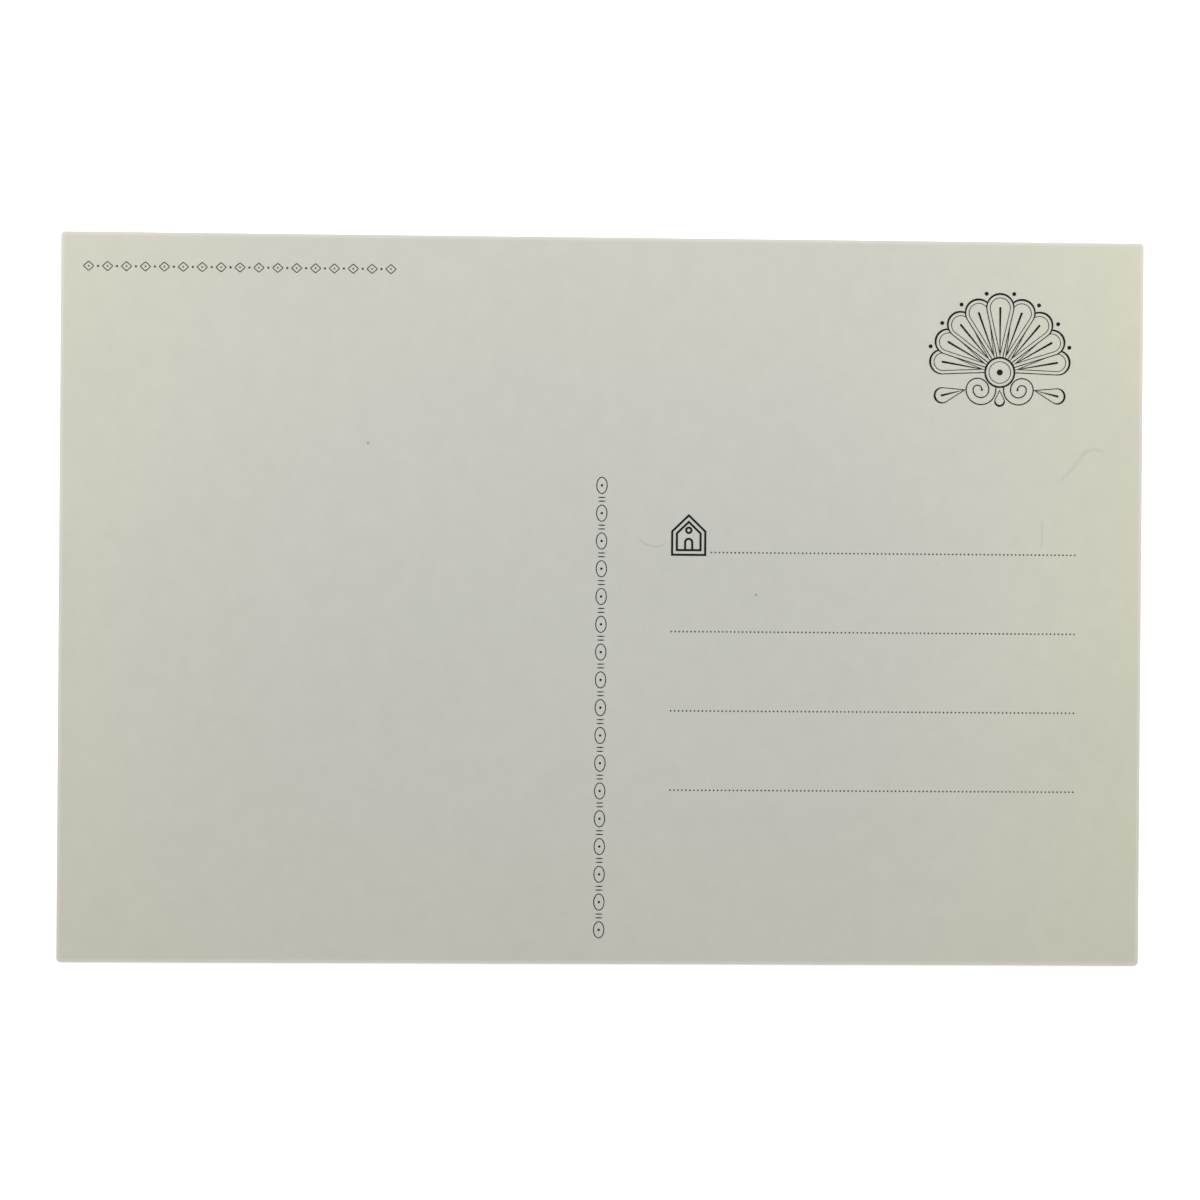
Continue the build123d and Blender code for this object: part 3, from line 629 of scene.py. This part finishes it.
def printed_rule(tree, given, along, count, motif_length, motif, filler):
    """Spreads a motif evenly over the rule's length, with a filler half way between neighbours, and levels
    the foot of the ink on the paper. Along is the axis that the rule runs on."""
    spaces = add(tree, "ShaderNodeMath", [count, 1.0], operation="SUBTRACT")
    pitch = add(tree, "ShaderNodeMath", [given["Length"], motif_length], operation="SUBTRACT")
    pitch = add(tree, "ShaderNodeMath", [pitch, spaces], operation="DIVIDE")
    first = add(tree, "ShaderNodeMath", [motif_length, 0.5], operation="MULTIPLY")
    between = add(tree, "ShaderNodeMath", [pitch, 0.5, first], operation="MULTIPLY_ADD")
    step = add(tree, "ShaderNodeCombineXYZ", {along: pitch})
    rows = []
    for copies, shift, shape in ((count, first, motif), (spaces, between, filler)):
        start = add(tree, "ShaderNodeCombineXYZ", {along: shift})
        start = add(tree, "ShaderNodeVectorMath", [start, given["Start"]], operation="ADD")
        places = add(tree, "GeometryNodeMeshLine", {"Count": copies, "Start Location": start, "Offset": step})
        rows.append(add(tree, "GeometryNodeInstanceOnPoints", {"Points": places, "Instance": shape}))
    rule = add(tree, "GeometryNodeJoinGeometry", [rows])
    rule = add(tree, "GeometryNodeRealizeInstances", [rule])
    level = add(tree, "ShaderNodeSeparateXYZ", [given["Start"]])
    level = add(tree, "ShaderNodeCombineXYZ", [PAST_CARD, PAST_CARD, level.outputs[2]])
    where = add(tree, "GeometryNodeInputPosition")
    where = add(tree, "ShaderNodeVectorMath", [where, level], operation="MAXIMUM")
    rule = add(tree, "GeometryNodeSetPosition", {"Geometry": rule, "Position": where})
    rule = add(tree, "GeometryNodeSetMaterial", {"Geometry": rule, "Material": given["Ink"]})
    add(tree, "NodeGroupOutput", [rule])


black_ink = printed_ink("black_offset_ink", BLACK_INK, BLACK_INK_THIN)
low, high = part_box("divider_rule")
divider_sizes = {"Beads": BEADS, "Start": ((low.x + high.x) / 2, low.y, low.z), "Length": high.y - low.y,
                 "Bead Length": BEAD_LENGTH, "Bead Width": high.x - low.x, "Stroke": BEAD_STROKE,
                 "Eye": 2 * BEAD_EYE, "Reel Length": REEL_LENGTH, "Reel Width": REEL_WIDTH,
                 "Reel Gap": REEL_GAP, "Ink Film": INK_FILM, "Ink": black_ink}
tree, given = new_tree("bead_and_reel", divider_sizes)
# A bead is an oval ring with an eye in it
spans = [add(tree, "ShaderNodeMath", [given[key], given["Stroke"]], operation="SUBTRACT")
         for key in ("Bead Width", "Bead Length")]
oval = add(tree, "GeometryNodeCurvePrimitiveCircle", {"Resolution": OVAL_STEPS, "Radius": 0.5})
oval_size = add(tree, "ShaderNodeCombineXYZ", [*spans, 1.0])
oval = add(tree, "GeometryNodeTransform", {"Geometry": oval, "Scale": oval_size})
ring = inked_line(tree, oval, given["Stroke"], given["Ink Film"])
eye = inked_spot(tree, given["Eye"], given["Eye"], given["Ink Film"])
bead = add(tree, "GeometryNodeJoinGeometry", [[ring, eye]])
# Reels go in pairs
reel = inked_spot(tree, given["Reel Width"], given["Reel Length"], given["Ink Film"])
apart = add(tree, "ShaderNodeMath", [given["Reel Length"], given["Reel Gap"]], operation="ADD")
pair = []
for way in (-0.5, 0.5):
    shift = add(tree, "ShaderNodeMath", [apart, way], operation="MULTIPLY")
    shift = add(tree, "ShaderNodeCombineXYZ", {1: shift})
    pair.append(add(tree, "GeometryNodeTransform", {"Geometry": reel, "Translation": shift}))
reels = add(tree, "GeometryNodeJoinGeometry", [pair])
printed_rule(tree, given, 1, given["Beads"], given["Bead Length"], bead, reels)
printed_piece("bead_and_reel_rule", tree, divider_sizes, "divider_rule")

# The caption rule: outlined lozenges with an eye in each and a pearl between neighbours, printed in the
# grey ink along the top of the left-hand half.
LOZENGES = 17
LOZENGE_LENGTH, LOZENGE_STROKE, LOZENGE_CORNER = 1.7 * MM, 0.15 * MM, 0.1 * MM
LOZENGE_EYE, PEARL, CORNER_POINTS = 0.13 * MM, 0.34 * MM, 3

low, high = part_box("caption_rule")
caption_sizes = {"Lozenges": LOZENGES, "Start": (low.x, (low.y + high.y) / 2, low.z),
                 "Length": high.x - low.x, "Lozenge Length": LOZENGE_LENGTH,
                 "Lozenge Width": high.y - low.y, "Stroke": LOZENGE_STROKE, "Corner": LOZENGE_CORNER,
                 "Eye": 2 * LOZENGE_EYE, "Pearl": PEARL, "Ink Film": INK_FILM, "Ink": grey_ink}
tree, given = new_tree("lozenge_and_pearl", caption_sizes)
# The lozenge's middle line lies half a stroke inside its outline on every side
edge = add(tree, "ShaderNodeCombineXYZ", [given["Lozenge Length"], given["Lozenge Width"]])
edge = add(tree, "ShaderNodeVectorMath", [edge], operation="LENGTH")
area = add(tree, "ShaderNodeMath", [given["Lozenge Length"], given["Lozenge Width"]], operation="MULTIPLY")
inset = add(tree, "ShaderNodeMath", [edge, given["Stroke"]], operation="MULTIPLY")
inset = add(tree, "ShaderNodeMath", [inset, area], operation="DIVIDE")
inset = add(tree, "ShaderNodeMath", [1.0, inset], operation="SUBTRACT")
length = add(tree, "ShaderNodeMath", [given["Lozenge Length"], inset], operation="MULTIPLY")
half_width = add(tree, "ShaderNodeMath", [given["Lozenge Width"], inset], operation="MULTIPLY")
half_width = add(tree, "ShaderNodeMath", [half_width, 0.5], operation="MULTIPLY")
outline = add(tree, "GeometryNodeCurvePrimitiveQuadrilateral",
              {"Width": length, "Bottom Height": half_width, "Top Height": half_width}, mode="KITE")
outline = add(tree, "GeometryNodeFilletCurve", {"Curve": outline, "Count": CORNER_POINTS,
                                                "Radius": given["Corner"]}, mode="POLY")
lozenge = inked_line(tree, outline, given["Stroke"], given["Ink Film"])
eye = inked_spot(tree, given["Eye"], given["Eye"], given["Ink Film"])
lozenge = add(tree, "GeometryNodeJoinGeometry", [[lozenge, eye]])
pearl = inked_spot(tree, given["Pearl"], given["Pearl"], given["Ink Film"])
printed_rule(tree, given, 0, given["Lozenges"], given["Lozenge Length"], lozenge, pearl)
printed_piece("lozenge_and_pearl_rule", tree, caption_sizes, "caption_rule")

# The house mark and the stamp ornament: line drawings printed in the same black ink, the mark at the
# start of the first address line and the palmette in the corner that the stamp will cover.
give(card["address_mark"], black_ink)
give(card["stamp_ornament"], black_ink)

# The stage: a wide white floor just under the card, which glows a little more where the lamps don't reach.
# It is clear from below, and lets light through to the card, so that the picture side can be seen there.
FLOOR_DROP, FLOOR_SIZE = 0.05 * MM, 4.0
FLOOR_WHITE, FLOOR_GLOW, FAR_GLOW = "E7E7E7", 0.66, 0.85
GLOW_NEAR, GLOW_FAR = 200.0, 900.0


def looked_at(tree):
    """1 for the rays that show a surface to the camera, straight, in a reflection or through glass."""
    path = add(tree, "ShaderNodeLightPath")
    seen = 0.0
    for ray in ("Is Camera Ray", "Is Glossy Ray", "Is Transmission Ray"):
        seen = add(tree, "ShaderNodeMath", [seen, path.outputs[ray]], operation="MAXIMUM")
    return seen


bpy.ops.mesh.primitive_plane_add(size=FLOOR_SIZE, location=(0, 0, -FLOOR_DROP))
floor = bpy.context.object
floor.name = "floor"
floor.visible_shadow = False
floor.visible_diffuse = False
white, tree, millimetres = new_material("white_floor")
away = add(tree, "ShaderNodeVectorMath", [millimetres], operation="LENGTH")
glow = add(tree, "ShaderNodeMapRange", {"Value": away, "From Min": GLOW_NEAR, "From Max": GLOW_FAR,
                                        "To Min": FLOOR_GLOW, "To Max": FAR_GLOW})
glow = add(tree, "ShaderNodeMath", [looked_at(tree), glow], operation="MULTIPLY")
glow = add(tree, "ShaderNodeEmission", {"Strength": glow})
matt = add(tree, "ShaderNodeBsdfDiffuse", {"Color": FLOOR_WHITE})
lit = add(tree, "ShaderNodeAddShader", [glow, matt])
gone = add(tree, "ShaderNodeBsdfTransparent")
below = add(tree, "ShaderNodeNewGeometry").outputs["Backfacing"]
shown = add(tree, "ShaderNodeMixShader", [below, lit, gone])
add(tree, "ShaderNodeOutputMaterial", {"Surface": shown})
floor.data.materials.append(white)

# Studio light: two soft lamps beyond the card's top corners in an even white surround. The surround is
# brighter from below, in place of the light that a white table throws back.
SURROUND, TABLE_LIGHT, HORIZON_BLUR = 0.28, 0.95, 0.05
LAMP_SIZE, STUDIO_WHITE = 0.3, "FFFFFF"
LAMPS = [((-0.25, 0.17, 0.2), 0.9), ((0.25, 0.17, 0.2), 0.945)]

world = bpy.data.worlds.new("studio")
world.use_nodes = True
tree = world.node_tree
tree.nodes.clear()
towards = add(tree, "ShaderNodeTexCoord").outputs["Generated"]
towards = add(tree, "ShaderNodeSeparateXYZ", [towards])
level = add(tree, "ShaderNodeMapRange", {"Value": towards.outputs["Z"], "From Min": -HORIZON_BLUR,
                                         "From Max": HORIZON_BLUR, "To Min": TABLE_LIGHT,
                                         "To Max": SURROUND})
surround = add(tree, "ShaderNodeBackground", {"Color": STUDIO_WHITE, "Strength": level})
backdrop = add(tree, "ShaderNodeBackground", {"Color": STUDIO_WHITE, "Strength": 1.0})
shown = add(tree, "ShaderNodeMixShader", [looked_at(tree), surround, backdrop])
add(tree, "ShaderNodeOutputWorld", {"Surface": shown})
bpy.context.scene.world = world

for i, (place, power) in enumerate(LAMPS):
    lamp = bpy.data.lights.new(f"lamp_{i + 1}", "AREA")
    lamp.size = LAMP_SIZE
    lamp.energy = power
    stand = bpy.data.objects.new(f"lamp_{i + 1}", lamp)
    stand.location = place
    stand.rotation_euler = (-stand.location).to_track_quat("-Z", "Y").to_euler()
    stand.visible_camera = False
    bpy.context.scene.collection.objects.link(stand)

# The camera: a short telephoto held over the address side, looking straight down apart from the degree or
# two that a hand tilts and turns it.
LENS, SENSOR = 85.0, 36.0
CAMERA_PLACE = (-13.05 * MM, 1.57 * MM, 397.85 * MM)
CAMERA_TURN = (-0.224, -1.817, 0.435)

camera = bpy.data.cameras.new("camera")
camera.lens = LENS
camera.sensor_width = SENSOR
viewpoint = bpy.data.objects.new("camera", camera)
viewpoint.location = CAMERA_PLACE
viewpoint.rotation_euler = [math.radians(angle) for angle in CAMERA_TURN]
bpy.context.scene.collection.objects.link(viewpoint)
bpy.context.scene.camera = viewpoint
bpy.context.scene.view_settings.view_transform = "Standard"
